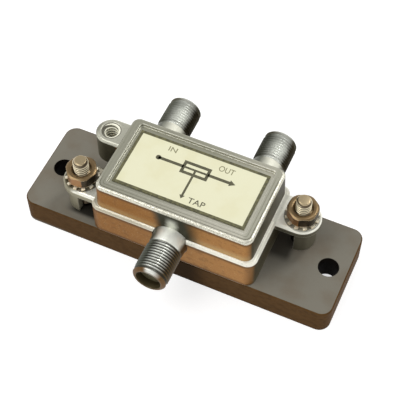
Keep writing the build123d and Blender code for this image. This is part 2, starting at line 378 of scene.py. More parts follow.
@dataclass(frozen=True)
class DieCasting(Finish):
    """Plated die-cast zinc, bright on top and warm on its front walls. Much of its light is
    painted: the warm front is a painted reflection, with painted highlights on the edges and
    painted shade under the rim and ledge, in corners and under the washers.
    """

    # Top colours: the rim's and the ledge's change from left to right is painted light, and lip and
    # lip_dark are painted highlights.
    rim_left: Colour = ink(168, 167, 150)
    rim_right: Colour = ink(204, 201, 185)
    shelf_left: Colour = ink(198, 191, 170)
    shelf_right: Colour = ink(252, 250, 236)
    boss_top: Colour = ink(196, 195, 179)
    lip: Colour = ink(238, 235, 220)
    lip_dark: Colour = ink(190, 187, 171)
    # The painted edge highlight.
    bright: Colour = ink(250, 248, 236)
    # Front wall colours: their warmth is a painted reflection, front_dark also paints shade and
    # front_light a painted glow.
    front_left: Colour = ink(143, 95, 36)
    front_right: Colour = ink(166, 118, 62)
    front_dark: Colour = ink(88, 58, 27)
    front_light: Colour = ink(192, 162, 112)
    # Side walls; side_light paints them lighter lower down.
    side_wall: Colour = ink(68, 64, 47)
    side_light: Colour = ink(130, 126, 108)
    # Legs and boss sides: the left leg's lighter colour is painted light, and it also paints shade
    # on the left ear's outer end.
    leg_left: Colour = ink(150, 145, 124)
    leg_right: Colour = ink(104, 100, 84)
    boss_side: Colour = ink(92, 88, 70)
    # The port's painted reflection in the front wall.
    mirror_dark: Colour = ink(58, 57, 42)
    mirror_light: Colour = ink(236, 238, 224)
    # Painted shade in corners, round the washers, along the rim's unlit edges and on the back right
    # walls, and the rim's thin dark lines.
    shade_tone: Colour = ink(62, 56, 36)
    grain_size: float = 0.42
    cloud_size: float = 3.2
    smear_size: float = 1.2
    swell_size: float = 5.0
    edge_radius: float = 0.45
    crevice_reach: float = 0.6
    body_half_x: float = 23.4
    roof_z: float = 26.5
    ledge_z: float = 18.2
    rim_outline: tuple[float, ...] = (21.78, 12.38, 2.4, -0.45)
    recess_outline: tuple[float, ...] = (19.28, 10.33, 0.8, 0.0)
    rim_lines: Span = (0.95, 1.8)
    washer_rim: Span = (4.9, 4.7)

    def paint(self, graph: Graph) -> None:
        """Builds the nodes of this finish.

        Args:
            graph: the tree to build in.
        """
        x, _, z = graph.axes
        facing_right, _, facing_up = graph.facing
        grain, cloud = graph.noise(self.grain_size, 3, 0.62), graph.noise(self.cloud_size)
        soft = graph.soft_normal(self.edge_radius)
        # The rounded edges' painted highlight band is kept out of the walls.
        wall = facing_up.between(0.62, 0.28) * (1 - self.bright_edge_band(graph))
        # Painted edge highlight: left off the far left end, fainter to the left and on faces that
        # look down, duller at the ledge's front right corner.
        lit = (0.7 + 0.3 * x.between(-4, 8)) * x.between(-30.5, -27.5)
        lit = lit * (1 - 0.4 * self.ledge_corner(graph, 20.8))
        colour = graph.layers(
            self.tops(graph, grain, cloud),
            (self.walls(graph, grain, cloud), wall),
            (self.bright, graph.edge(soft) * lit * (0.3 + 0.4 * facing_up.between(-0.2, 0.6))),
            # The rim's thin dark lines, and painted shade at the recess's foot and in tight
            # corners.
            (self.shade_tone, self.rim_line(graph, grain) * 0.75),
            (self.shade_tone, self.crevice_shade(graph, grain) * 0.7),
        )
        shelf = z.window((16.5, 17.5), (19, 20)) * x.between(-2, 6) * (1 - wall)
        right_wall = wall * facing_right.between(0.5, 0.8)
        normal = graph.bump(graph.noise(self.swell_size, 1), 0.06, 0.5, soft)
        graph.surface(
            Base_Color=colour, Metallic=0.82 - 0.2 * wall - 0.45 * shelf - 0.5 * right_wall,
            Roughness=0.3 + 0.16 * grain + 0.12 * wall, Specular_IOR_Level=0.2,
            Normal=graph.bump(grain, 0.05, 0.45, normal),
        )

    def bright_edge_band(self, graph: Graph) -> Signal:
        """The band over the rim's and the ledge's rounded edges that keeps the tops' bright colour,
        a painted highlight.

        Args:
            graph: the tree to build in.

        Returns:
            The band, 0 to 1.
        """
        x, _, z = graph.axes
        roof, ledge, side = self.roof_z, self.ledge_z, -self.body_half_x
        rim = (z - 0.3 * x.between(20.5, 22)).between(roof - 1.05, roof - 0.85)
        band = z.window((ledge - 0.8, ledge - 0.6), (ledge, ledge + 0.15))
        return rim.most(band * x.between(side - 0.4, side))

    def tops(self, graph: Graph, grain: Signal, cloud: Signal) -> Tone:
        """The colour of the faces that look up, with painted light and shade.

        Args:
            graph: the tree to build in.
            grain, cloud: fine and coarse noise.

        Returns:
            A grey rim, and pale cream below it, both brighter to the right as painted light, with
            painted highlights and painted shade.
        """
        x, y, z = graph.axes
        dots = graph.noise(0.28, 1).between(0.42, 0.58)
        outer = graph.inset(*self.rim_outline)
        lit_edge = self.lit_sides(graph) * y.between(11.5, 10.5)
        # The rim: a painted highlight on its lit lip, painted shade along its other outer edges.
        rim = graph.layers(
            self.rim_left,
            (self.rim_right, (x - 0.8 * (y + 11) + 4 * cloud).between(-18, 20)),
            (self.rim_left, x.between(18.6, 19.8) * 0.7),
            (graph.mix(self.lip_dark, self.lip, dots), outer.between(0.85, 0.65) * lit_edge * 0.85),
            (self.shade_tone, outer.between(0.35, 0.05) * (1 - lit_edge) * 0.8),
        )
        # Ledge, ears and boss: brighter to the right and at the left ear's front as painted light,
        # a duller painted highlight at the ledge's front right corner, painted shade at the left
        # ear's outer end, round the washers and on the boss's left crescent.
        return graph.layers(
            self.shelf_left,
            (self.shelf_right, x.between(-12, 4)),
            (self.shelf_right, y.between(-7.5, -9) * x.between(-22.6, -23.4)),
            (self.lip_dark, self.ledge_corner(graph, 20.5) * 0.5),
            (self.leg_left, x.between(-28.5, -30.5)),
            (self.shade_tone, self.washer_shade(graph) * 0.7),
            (graph.mix(self.boss_top, self.boss_side, x.between(-29, -30.8) * 0.9),
             z.between(19.5, 20.5)),
            (rim, z.between(24.5, 25.5)),
            (self.rim_left, cloud.between(0.55, 0.75) * 0.25),
            (self.side_wall, grain.between(0.42, 0.25) * 0.35),
        )

    def walls(self, graph: Graph, grain: Signal, cloud: Signal) -> Tone:
        """The colour of the upright faces.

        Args:
            graph: the tree to build in.
            grain, cloud: fine and coarse noise.

        Returns:
            Warm in front as a painted reflection, grey-green at the sides, dull on the legs and the
            boss, each with painted light and shade.
        """
        x, y, z = graph.axes
        smear = graph.noise(self.smear_size, 3, 0.65, graph.stretched((0.65, 0.65, 1)))
        # Painted shade under the rim, under the ledge and at the foot.
        under_rim = z.window((24.3, 25.2), (25.5, 25.7))
        under_ledge = z.window((16, 17.1), (17.4, 17.6))
        shadow = under_rim.most(under_ledge).most(z.between(9.8, 8.4))
        above_ledge = z.window((18, 18.4), (18.8, 21.2))
        # The front: a painted warm reflection, brighter to the right, with a painted glow above the
        # ledge, painted shade and darker corners, and the port's painted reflection.
        warm = graph.layers(
            self.front_left,
            (self.front_right, x.between(-16, 10)),
            (self.front_dark, smear.between(0.5, 0.3) * 0.35),
            (self.front_light, above_ledge * (0.45 + 0.3 * x.between(5, 15))),
            (self.front_light, grain.between(0.54, 0.74) * 0.4),
            (self.front_dark, grain.between(0.42, 0.26) * 0.4),
            (self.front_dark, (shadow * 0.75).most(abs(x).between(20, 22.5) * 0.5)),
            (self.mirror(graph, smear), self.port_shade(graph)),
        )
        # The sides: lighter lower down as painted light, with painted shade towards the back right.
        cool = graph.layers(
            self.side_wall,
            (self.side_light, (z + 3 * cloud).between(14.5, 8.5) * 0.5),
            (self.front_dark, smear.between(0.5, 0.3) * 0.4),
            (self.shade_tone, y.between(-3, 6) * x.between(0, 5) * 0.95),
        )
        # Legs and boss sides, the left leg lighter as painted light.
        outer = graph.layers(
            self.leg_left,
            (self.leg_right, x.between(-5, 5)),
            (self.boss_side, y.between(0.5, 2.5) * x.between(-22.5, -23.5)),
        )
        off_body = abs(x).between(self.body_half_x - 0.1, self.body_half_x + 0.3)
        return graph.layers(
            cool, (warm, (0 - graph.facing[1]).between(0.25, 0.75)), (outer, off_body)
        )

    def ledge_corner(self, graph: Graph, start: float) -> Signal:
        """The front right corner of the ledge, whose painted highlight is duller, 0 to 1, which
        starts at that x.
        """
        x, y, _ = graph.axes
        return x.window((start, 22), (23, 23.6)) * y.between(-11.5, -9.5)

    def lit_sides(self, graph: Graph) -> Signal:
        """The rim's front and right sides, whose edges catch the light, 0 to 1."""
        x, y, _ = graph.axes
        return y.between(-8, -11).most(x.between(18, 20.5))

    def port_shade(self, graph: Graph) -> Signal:
        """The part of the front wall that carries a painted reflection of the port before it, 0 to
        1.
        """
        x, _, z = graph.axes
        return (x - 0.25 * (22 - z)).window((-5.6, -2.4), (3.6, 9)) * z.between(17.6, 18.4)

    def mirror(self, graph: Graph, smear: Signal) -> Signal:
        """The port's painted reflection: dark, with one bright streak.

        Args:
            graph: the tree to build in.
            smear: the noise that bends the streak.

        Returns:
            The colour.
        """
        x, _, z = graph.axes
        streak = (x + 1.5 * (smear - 0.5)).window((-2, 0.2), (0.6, 2.6))
        return graph.mix(self.mirror_dark, self.mirror_light, streak * z.between(25.4, 22.6) * 0.8)

    def washer_shade(self, graph: Graph) -> Signal:
        """The painted shade in a ring of each ear's top, round where a lock washer stands.

        Args:
            graph: the tree to build in.

        Returns:
            The rings, 0 to 1.
        """
        x, y, _ = graph.axes
        left, right = (
            (x - side.x).reach(y - side.y).between(*self.washer_rim) for side in Side
        )
        return left.most(right)

    def rim_line(self, graph: Graph, grain: Signal) -> Signal:
        """Thin dark lines: two broken ones inside the rim's edge, and a line of painted shade at
        the recess's foot.

        Args:
            graph: the tree to build in.
            grain: the noise that breaks them.

        Returns:
            The lines, 0 to 1.
        """
        _, y, z = graph.axes
        outer_line, inner_line = self.rim_lines
        inset = graph.inset(*self.rim_outline)
        outer = abs(inset - outer_line).between(0.2, 0.08)
        line = outer.most(abs(inset - inner_line).between(0.16, 0.06) * 0.7)
        line = line * (0.45 + 0.5 * grain.between(0.4, 0.6))
        roof = z.between(self.roof_z - 0.5, self.roof_z - 0.3)
        foot = abs(graph.inset(*self.recess_outline)).between(0.12, 0.05) * z.between(25.9, 25.75)
        fore = self.lit_sides(graph) * y.between(9, 7)
        return (roof * line).most(foot * 0.6) * (0.15 + 0.85 * fore)

    def crevice_shade(self, graph: Graph, grain: Signal) -> Signal:
        """Painted shade found by occlusion: tight corners below the rim, and specks on the ledge's
        right part.

        Args:
            graph: the tree to build in.
            grain: the noise that makes the specks.

        Returns:
            The painted shade, 0 to 1.
        """
        x, _, z = graph.axes
        settings = {"samples": EDGE_SAMPLES, "only_local": True}
        sockets = {"Distance": self.crevice_reach * MM}
        hidden = graph.node("ShaderNodeAmbientOcclusion", settings, sockets)["AO"]
        clean = z.window((17, 17.6), (18.6, 19.2)) * x.between(1, 5)
        clean = clean * (1 - grain.between(0.56, 0.44))
        return hidden.between(0.6, 0.25) * z.between(25.5, 25) * (1 - 0.85 * clean)


@dataclass(frozen=True)
class PlateCoat(Finish):
    """The base plate's dull warm grey top and brown sides, whose brown is a painted shade and
    reflection, with painted shadows.
    """

    top: Colour = ink(124, 120, 109)
    top_warm: Colour = ink(116, 107, 93)
    # Side colours: a painted brown shade and reflection, redder to the right.
    side: Colour = ink(89, 65, 39)
    side_dark: Colour = ink(79, 57, 33)
    side_red: Colour = ink(92, 67, 39)
    # Painted shadow of the port, painted shade in the holes and under the ears.
    shade: Colour = ink(34, 24, 11)
    hole: Colour = ink(18, 12, 6)
    hidden: Colour = ink(26, 24, 19)
    grain_size: float = 0.5
    cloud_size: float = 7.0
    streak_size: float = 1.1
    edge_radius: float = 0.5
    outline: tuple[float, ...] = (44.5, 14.15, 3.0, 0.0)

    def paint(self, graph: Graph) -> None:
        """Builds the nodes of this finish.

        Args:
            graph: the tree to build in.
        """
        x, y, z = graph.axes
        grain, cloud = graph.noise(self.grain_size, 3, 0.6), graph.noise(self.cloud_size, 3)
        streak = graph.noise(self.streak_size, 3, 0.6, graph.stretched((0.6, 0.6, 1)))
        # Painted shade on the top under the ears; the sides are a painted brown shade and
        # reflection, lighter towards the bottom at the left end, with the port's painted shadow and
        # painted shade in the holes.
        behind_port = x.window((-4, 1.5), (5, 12)) * y.between(-13, -14)
        colour = graph.layers(
            self.top,
            (self.top_warm, cloud.between(0.38, 0.72) * 0.7),
            (self.side_dark, grain.between(0.36, 0.2) * 0.25),
            (self.hidden, self.shade_under_ears(graph) * 0.9),
            (graph.layers(
                self.side_dark,
                (self.side, streak.between(0.3, 0.62)),
                (self.side_red,
                 (x / self.outline[0]).between(-0.1, 1) * streak.between(0.3, 0.7) * 0.8),
                (self.shade, behind_port * 0.8),
                (self.top, z.between(1.2, 0.4) * x.between(-24, -42) * 0.5),
                (self.hole, graph.inset(*self.outline).between(0.8, 1)),
            ), graph.facing[2].between(0.98, 0.8)),
        )
        graph.surface(
            Base_Color=colour, Metallic=0.0, Roughness=0.46 + 0.2 * grain,
            Specular_IOR_Level=0.02,
            Normal=graph.bump(grain, 0.03, 0.35, graph.soft_normal(self.edge_radius)),
        )

    def shade_under_ears(self, graph: Graph) -> Signal:
        """The painted shade on the top under the two ears.

        Args:
            graph: the tree to build in.

        Returns:
            The shade, 0 to 1.
        """
        x, y, _ = graph.axes
        right = y.window((-4, -1), (6, 8)) * x.window((21, 24), (27.5, 29.5)) * 0.8
        left = y.window((-12.5, -11), (-4, -2)) * x.between(-20, -24)
        return abs(x).window((20, 22), (29, 33.5)) * right.most(left)


@dataclass(frozen=True)
class Plating(Finish):
    """A plated turned or stamped part, darker where it faces sideways and down as a painted shade,
    with a painted highlight along its edges.
    """

    # tone is the colour of faces that look up, low the colour painted on faces turned sideways and
    # down, bright the painted edge highlight.
    tone: Colour
    low: Colour
    bright: Colour = ink(250, 246, 232)
    metallic: float = 1.0
    rough: float = 0.24
    grain: float = 0.3
    cloud: float = 1.8
    grain_depth: float = 0.01
    edge_radius: float = 0.18
    edge_share: float = 0.5
    low_from: float = 0.55
    low_to: float = -0.15

    def low_share(self, graph: Graph) -> Signal:
        """How far the low colour, painted by the way the face points, takes over, 0 to 1."""
        return graph.facing[2].between(self.low_from, self.low_to)

    def low_tone(self, graph: Graph) -> Tone:
        """The colour of what faces sideways and down."""
        return self.low

    def dark_coats(self, graph: Graph) -> list[tuple[Tone, Value]]:
        """The darker coats over the plate. Plain parts have none."""
        return []

    def paint(self, graph: Graph) -> None:
        """Builds the nodes of this finish.

        Args:
            graph: the tree to build in.
        """
        grain, cloud = graph.noise(self.grain, 3), graph.noise(self.cloud)
        soft = graph.soft_normal(self.edge_radius)
        low = self.low_tone(graph)
        # The low colour by the way each face points, and a painted highlight on the edges.
        colour = graph.layers(
            self.tone,
            (low, (self.low_share(graph) * (0.75 + 0.5 * cloud)).clamped()),
            (low, grain.between(0.4, 0.22) * 0.4),
            (self.bright, graph.edge(soft) * self.edge_share),
            *self.dark_coats(graph),
        )
        graph.surface(
            Base_Color=colour, Metallic=self.metallic, Roughness=self.rough + 0.14 * grain,
            Normal=graph.bump(grain, self.grain_depth, 0.5, soft),
        )


@dataclass(frozen=True)
class NutPlating(Plating):
    """A bronze-toned nut, warm on its front left flats as a painted reflection, and dark on the
    others as a painted shade.
    """

    # The painted warm reflection on the front left flats.
    warm: Colour = ink(150, 106, 62)

    def low_tone(self, graph: Graph) -> Signal:
        """Warm where a flat faces front and left, a painted reflection."""
        front = (0 - graph.facing[1]).between(0.1, 0.4)
        return graph.mix(self.low, self.warm, graph.facing[0].between(0.32, 0.16) * front)


@dataclass(frozen=True)
class StudPlating(Plating):
    """A plated upright thread, dark in its roots, and dark all over inside what it stands in as a
    painted shade.
    """

    root: Colour = ink(62, 42, 22)
    at: Span = (0.0, 0.0)
    crest_r: float = 2.083
    root_r: float = 1.66
    top_z: float = 25.5
    mouth_z: float = 99.0
    dark_from: float = 3.4
    dark_to: float = 18.0

    def low_share(self, graph: Graph) -> Signal:
        """The thread has the low colour all over, and the rest where it faces down."""
        return super().low_share(graph).most(self.below_top(graph))

    def below_top(self, graph: Graph) -> Signal:
        """The part below the crown, 0 to 1."""
        return graph.axes[2].between(self.top_z + 0.05, self.top_z - 0.1)

    def dark_coats(self, graph: Graph) -> list[tuple[Tone, Value]]:
        """Darker in the roots, and painted shade on the part that stands inside something.

        Args:
            graph: the tree to build in.

        Returns:
            The coat.
        """
        x, y, z = graph.axes
        radius = (x - self.at[0]).reach(y - self.at[1]) - (z - self.mouth_z).most(0.0)
        depth = self.root_r - self.crest_r
        deep = radius.between(self.crest_r + 0.1 * depth, self.crest_r + 0.6 * depth)
        low, high = self.dark_from, self.dark_to
        # Painted shade on the part inside what it stands in.
        inside = z.window((low, low + 0.2), (high - 0.2, high))
        return [(self.root, (deep * self.below_top(graph)).most(inside) * 0.9)]


@dataclass(frozen=True)
class BarrelPlating(Finish):
    """Nickel plate on a level threaded barrel, with painted light: a lit window round it, painted
    shade on both flanks, on the nose's face and in the bore, and darker thread roots.

    The lit windows and the wobble are in degrees round the barrel, from its top towards +X.
    """

    # Lit colours of the painted window; painted shade colours for the flanks, the nose and the
    # bore.
    tone: Colour = ink(246, 248, 240)
    collar_tone: Colour = ink(232, 231, 214)
    shade_left: Colour = ink(92, 94, 82)
    shade_right: Colour = ink(60, 53, 33)
    nose_shade: Colour = ink(96, 92, 76)
    root: Colour = ink(60, 58, 48)
    bore: Colour = ink(84, 74, 50)
    # Where round the thread, the collar and the nose the painted light falls; fade dims it towards
    # the tip.
    thread_lit: Window = ((-44, 20), (31, 60))
    collar_lit: Window = ((-34, 12), (37, 64))
    nose_lit: Window = ((-40, 14), (30, 60))
    nose_share: float = 0.5
    fade: float = 0.45
    root_share: float = 0.2
    metallic: float = 0.66
    rough: float = 0.32
    grain_size: float = 0.3
    cloud_size: float = 2.4
    ridge_size: float = 0.16
    wobble: float = 14.0
    root_r: float = 4.28
    crest_r: float = 4.7625
    bore_r: float = 3.4
    axis_x: float = 0.0
    axis_z: float = 15.8
    seat_y: float = 0.0
    thread_from: float = 0.0
    thread_to: float = 0.0
    tip_y: float = 0.0

    def paint(self, graph: Graph) -> None:
        """Builds the nodes of this finish.

        Args:
            graph: the tree to build in.
        """
        x, along, z = graph.axes
        across, up = x - self.axis_x, z - self.axis_z
        radius = across.reach(up)
        grain, cloud = graph.noise(self.grain_size, 3), graph.noise(self.cloud_size)
        turned = graph.noise(self.ridge_size, 2, 0.5, graph.stretched((0.12, 1, 0.12)))
        angle = across.turn(up) + self.wobble * (cloud - 0.5)
        near, far = sorted((self.thread_from, self.thread_to))
        threaded = along.window((near - 0.1, near + 0.1), (far - 0.1, far + 0.1))
        collar = (along - self.seat_y) / (self.thread_from - self.seat_y)
        on_collar = collar.between(1.02, 0.98)
        from_tip = abs(along - self.tip_y)
        on_nose = from_tip.between(1.5, 0.9)
        toward_tip = (along - self.thread_from) / (self.tip_y - self.thread_from)
        # Painted light: a lit window round the barrel, dimmer towards the tip.
        light = angle.window(*self.thread_lit) * (1 - toward_tip.between(0.35, 0.9) * self.fade)
        light = light.towards(angle.window(*self.collar_lit), on_collar)
        light = light.towards(angle.window(*self.nose_lit) * self.nose_share, on_nose)
        deep = radius.between(self.crest_r - 0.06, self.root_r + 0.02)
        face = from_tip.between(0.12, 0.04) * radius.between(self.crest_r - 0.3, self.crest_r - 0.6)
        # Painted shade on the flanks and nose under the lit window, darker roots, and painted shade
        # on the nose's face and in the bore.
        colour = graph.layers(
            self.shade_left,
            (self.shade_right, angle.between(5, 45)),
            (self.nose_shade, on_nose),
            (graph.mix(self.tone, self.collar_tone, on_collar), light + 0.12 * (grain - 0.5)),
            (self.root, deep * threaded * self.root_share),
            (self.nose_shade, face * 0.6),
            (self.bore, radius.between(self.bore_r + 0.3, self.bore_r + 0.1)),
            (self.shade_right, grain.between(0.36, 0.2) * 0.3),
        )
        graph.surface(
            Base_Color=colour, Metallic=self.metallic - 0.3 * on_collar.most(on_nose),
            Roughness=self.rough + 0.14 * grain + 0.1 * deep, Specular_IOR_Level=0.25,
            Normal=graph.bump(turned, 0.012, 0.4),
        )


@dataclass(frozen=True)
class LabelFoil(Finish):
    """A cream printed label with an olive border."""

    cream: Colour = ink(226, 224, 192)
    cream_warm: Colour = ink(220, 216, 178)
    border: Colour = ink(104, 101, 66)
    border_dark: Colour = ink(70, 68, 44)
    half_length: float = 18.4
    half_width: float = 8.9
    middle_y: float = -0.1
    border_w: float = 0.8
    grain_size: float = 0.25
    cloud_size: float = 6.0
    edge_radius: float = 0.08

    def paint(self, graph: Graph) -> None:
        """Builds the nodes of this finish.

        Args:
            graph: the tree to build in.
        """
        x, y, _ = graph.axes
        inward = (self.half_length - abs(x)).least(self.half_width - abs(y - self.middle_y))
        cloud, grain = graph.noise(self.cloud_size, 3), graph.noise(self.grain_size)
        field = graph.mix(self.cream, self.cream_warm, cloud.between(0.4, 0.7) * 0.6)
        edging = graph.mix(self.border, self.border_dark, graph.noise(0.9, 3).between(0.35, 0.7))
        ragged = inward + 0.05 * (grain - 0.5)
        inside = ragged.between(self.border_w - 0.05, self.border_w + 0.05)
        colour = graph.mix(edging, field, inside * graph.facing[2].between(0.4, 0.8))
        graph.surface(
            Base_Color=colour, Metallic=0.0, Roughness=0.44 + 0.1 * grain,
            Normal=graph.bump(grain, 0.01, 0.3, graph.soft_normal(self.edge_radius)),
        )


@dataclass(frozen=True)
class Moulding(Finish):
    """A dull or glossy non-metal, such as plastic, ceramic, ferrite or print."""

    tone: Colour
    second: Colour
    grain: float
    rough: float
    depth: float = 0.01
    edge_radius: float = 0.1

    def paint(self, graph: Graph) -> None:
        """Builds the nodes of this finish.

        Args:
            graph: the tree to build in.
        """
        grain, cloud = graph.noise(self.grain, 3, 0.6), graph.noise(self.grain * 6)
        share = (grain * 0.6 + cloud * 0.4).between(0.42, 0.7)
        normal = graph.bump(grain, self.depth, 0.5, graph.soft_normal(self.edge_radius))
        graph.surface(
            Base_Color=graph.mix(self.tone, self.second, share), Metallic=0.0,
            Roughness=self.rough + 0.12 * grain, Normal=normal,
        )


@dataclass(frozen=True)
class BoardLaminate(Finish):
    """A varnished circuit board with printed tracks."""

    varnish: Colour = ink(40, 92, 58)
    track: Colour = ink(66, 128, 78)
    rim: Colour = ink(176, 160, 104)
    track_scale: float = 0.28
    gap: float = 0.06
    weave_size: float = 0.35
    edge_radius: float = 0.08

    def paint(self, graph: Graph) -> None:
        """Builds the nodes of this finish.

        Args:
            graph: the tree to build in.
        """
        tracks = graph.node("ShaderNodeTexBrick", {"offset": 0.5}, {
            "Vector": graph.place, "Scale": self.track_scale, "Mortar Size": self.gap,
            "Color1": (0, 0, 0), "Color2": (0, 0, 0), "Mortar": (1, 1, 1),
        })["Fac"]
        weave = graph.noise(self.weave_size, 2, 0.5, graph.stretched((1, 0.4, 1)))
        colour = graph.mix(self.varnish, self.track, tracks * (0.6 + 0.4 * weave))
        colour = graph.mix(self.rim, colour, abs(graph.facing[2]).between(0.4, 0.8))
        graph.surface(
            Base_Color=colour, Metallic=0.0, Roughness=0.3 + 0.15 * weave,
            Normal=graph.bump(tracks, 0.04, 0.6, graph.soft_normal(self.edge_radius)),
        )


CASTING = DieCasting("die_casting")
PLATE_COAT = PlateCoat("plate_coat")
LABEL_FOIL = LabelFoil("label_foil")
BOARD = BoardLaminate("board_laminate")
BACK_BARREL = BarrelPlating("barrel_plating")
FRONT_BARREL = replace(
    BACK_BARREL, collar_tone=ink(246, 247, 236), shade_left=ink(76, 80, 70),
    shade_right=ink(80, 62, 33), nose_shade=ink(100, 73, 40), thread_lit=((-36, 2), (16, 56)),
    collar_lit=((-52, -14), (46, 72)), nose_lit=((-22, 0), (14, 50)), nose_share=0.85, fade=0.2,
    root_share=0.9, metallic=0.78, rough=0.26,
)
# The crown keeps the darker first colour; the whole thread below it takes the bright second one as
# a painted highlight.
SCREW_PLATE = StudPlating(
    "screw_plating", ink(186, 168, 134), ink(255, 242, 208), ink(255, 248, 226),
    edge_radius=0.1, low_from=0.4, low_to=-0.5,
)
NUT_PLATE = NutPlating(
    "nut_plating", ink(131, 109, 77), ink(34, 26, 12), ink(250, 234, 200),
    metallic=0.8, rough=0.26, edge_radius=0.14, edge_share=0.75,
)
# Both colours near white, so that the teeth show painted glints all round.
WASHER_STEEL = Plating(
    "washer_plating", ink(255, 246, 220), ink(232, 212, 170), ink(255, 252, 238),
    metallic=0.5, edge_radius=0.12,
)
# Near white and not metallic, a painted highlight on the thread's crests deep in the hole, with
# dark roots.
HOLE_THREAD = StudPlating(
    "hole_thread", ink(252, 248, 230), ink(248, 246, 226), metallic=0.0, rough=0.3,
    edge_radius=0.06, root=ink(56, 52, 34), crest_r=1.84, root_r=2.0, dark_to=3.5,
)
COVER_STEEL = Plating(
    "cover_plating", ink(190, 188, 180), ink(150, 146, 134), rough=0.34, edge_radius=0.15
)
CONTACT_METAL = Plating(
    "contact_metal", ink(226, 190, 112), ink(150, 110, 56), rough=0.22, edge_radius=0.06
)
COPPER_WIRE = Plating(
    "copper_wire", ink(196, 112, 66), ink(120, 58, 30), rough=0.26, edge_radius=0.05
)
# Dark brown-grey, which also stands in for the shade deep in the ports' mouths.
INSULATOR = Moulding("insulator_plastic", ink(100, 94, 70), ink(78, 72, 50), 0.6, 0.36)
FERRITE = Moulding("ferrite", ink(58, 58, 60), ink(40, 38, 38), 0.3, 0.55, depth=0.03)
RESISTOR_BODY = Moulding("resistor_glaze", ink(34, 34, 38), ink(52, 50, 54), 0.4, 0.24)
CAPACITOR_BODY = Moulding("capacitor_ceramic", ink(168, 138, 98), ink(144, 112, 76), 0.3, 0.4)
PRINT_DARK = Moulding(
    "dark_print", ink(78, 76, 54), ink(98, 95, 70), 0.2, 0.5, depth=0.004, edge_radius=0.02
)
PRINT_PALE = replace(
    PRINT_DARK, name="pale_print", tone=ink(128, 124, 92), second=ink(146, 141, 108)
)


# ---------------------------------------------------------------- mesh tools


@dataclass(frozen=True)
class Axis:
    """The line that a turned piece is built around, with two directions across it."""

    origin: Vector
    along: Vector
    first: Vector
    second: Vector

    def at(self, radius: float, angle: float, distance: float) -> Vector:
        """A point at that radius, angle and distance along the line."""
        across = self.first * cos(angle) + self.second * sin(angle)
        return self.origin + self.along * distance + across * radius


def upright(x: float, y: float) -> Axis:
    """The vertical line through a point of the plate, measured from the plate's underside."""
    return Axis(Vector((x, y, 0)), Vector((0, 0, 1)), Vector((1, 0, 0)), Vector((0, 1, 0)))


def vee(crest: float, root: float) -> Profile:
    """One turn of a V thread with a slightly rounded crest and root.

    Args:
        crest, root: the radii of its crest and its root.

    Returns:
        Pairs of a share of the lead and a radius.
    """
    soft = 0.12 * (crest - root)
    return [
        (0.0, crest - soft), (0.06, crest), (0.13, crest), (0.19, crest - soft),
        (0.47, root + soft), (0.54, root), (0.65, root), (0.72, root + soft),
    ]


class Shell:
    """Vertices and faces, in mm, that become one mesh."""

    def __init__(self) -> None:
        """Starts with nothing."""
        self.points: list[Vector] = []
        self.faces: list[tuple[int, ...]] = []

    def point(self, place: Vector) -> int:
        """Adds one vertex and returns its number."""
        self.points.append(place)
        return len(self.points) - 1

    def bridge(self, low: Sequence[int], high: Sequence[int]) -> None:
        """Joins two rings with faces."""
        for i, j in zip(range(len(low)), [*range(1, len(low)), 0]):
            self.faces.append((low[i], low[j], high[j], high[i]))

    def lathe(self, axis: Axis, profile: Profile, count: int) -> None:
        """Turns a profile. A radius of 0 closes an end.

        Args:
            axis: the line it turns about.
            profile: (radius, distance) pairs, in order.
            count: how many columns.
        """
        angles = [2 * pi * i / count for i in range(count)]
        rings = [[self.point(axis.at(r, a, d)) for a in angles] for r, d in profile]
        for low, high in zip(rings, rings[1:]):
            self.bridge(low, high)

    def thread(
        self, axis: Axis, turn_form: Profile, start: float, end: float,
        envelope: Callable[[float], float], count: int, lead: float = LEAD, inner: bool = False,
        flare: Callable[[float], float] = lambda along: 0.0,
    ) -> None:
        """Adds a right-hand thread between two planes, with an even ring at each.

        Args:
            axis: the line it winds about.
            turn_form: the shape of a turn, as (share of the lead, radius) pairs.
            start, end: the planes, as distances along the axis.
            envelope: the radius that the thread is cut back to at a distance.
            count: how many columns.
            lead: how far one turn climbs.
            inner: whether it is inside a hole, so that the envelope holds it out.
            flare: how much wider the whole thread is at a distance.
        """
        hold = max if inner else min
        turns = range(floor(start / lead) - 2, ceil(end / lead) + 2)
        columns = []
        for column in range(count):
            line = []
            for turn in turns:
                for share, radius in turn_form:
                    along = min(max(lead * (turn + share + column / count), start), end)
                    reach = hold(radius, envelope(along)) + flare(along)
                    line.append(self.point(axis.at(reach, 2 * pi * column / count, along)))
            columns.append(line)
        for column in range(count):
            here, there = columns[column], columns[(column + 1) % count]
            step = len(turn_form) if column == count - 1 else 0
            for row in range(len(here) - 1 - step):
                over = row + step
                self.faces.append((here[row], there[over], there[over + 1], here[row + 1]))

    def piece(self, name: str, finish: Finish, body: str, sharp: float) -> bpy.types.Object:
        """Makes the mesh and lets it ride on a body.

        Args:
            name: the piece's name.
            finish: its finish.
            body: the body it rides on.
            sharp: edges steeper than this many degrees stay crisp.

        Returns:
            The new object.
        """
        work = bmesh.new()
        verts = [work.verts.new(p * MM) for p in self.points]
        for face in self.faces:
            work.faces.new([verts[i] for i in face])
        bmesh.ops.remove_doubles(work, verts=work.verts, dist=WELD)
        bmesh.ops.dissolve_degenerate(work, dist=WELD, edges=work.edges)
        bmesh.ops.recalc_face_normals(work, faces=work.faces)
        return settle(name, bmesh_data(name, work), finish, body, sharp)


def bmesh_data(name: str, work: bmesh.types.BMesh) -> bpy.types.Mesh:
    """Writes a mesh that is being built, and frees what it was built with.

    Args:
        name: the mesh's name.
        work: what it was built with.

    Returns:
        The mesh.
    """
    mesh = bpy.data.meshes.new(name)
    work.to_mesh(mesh)
    work.free()
    return mesh


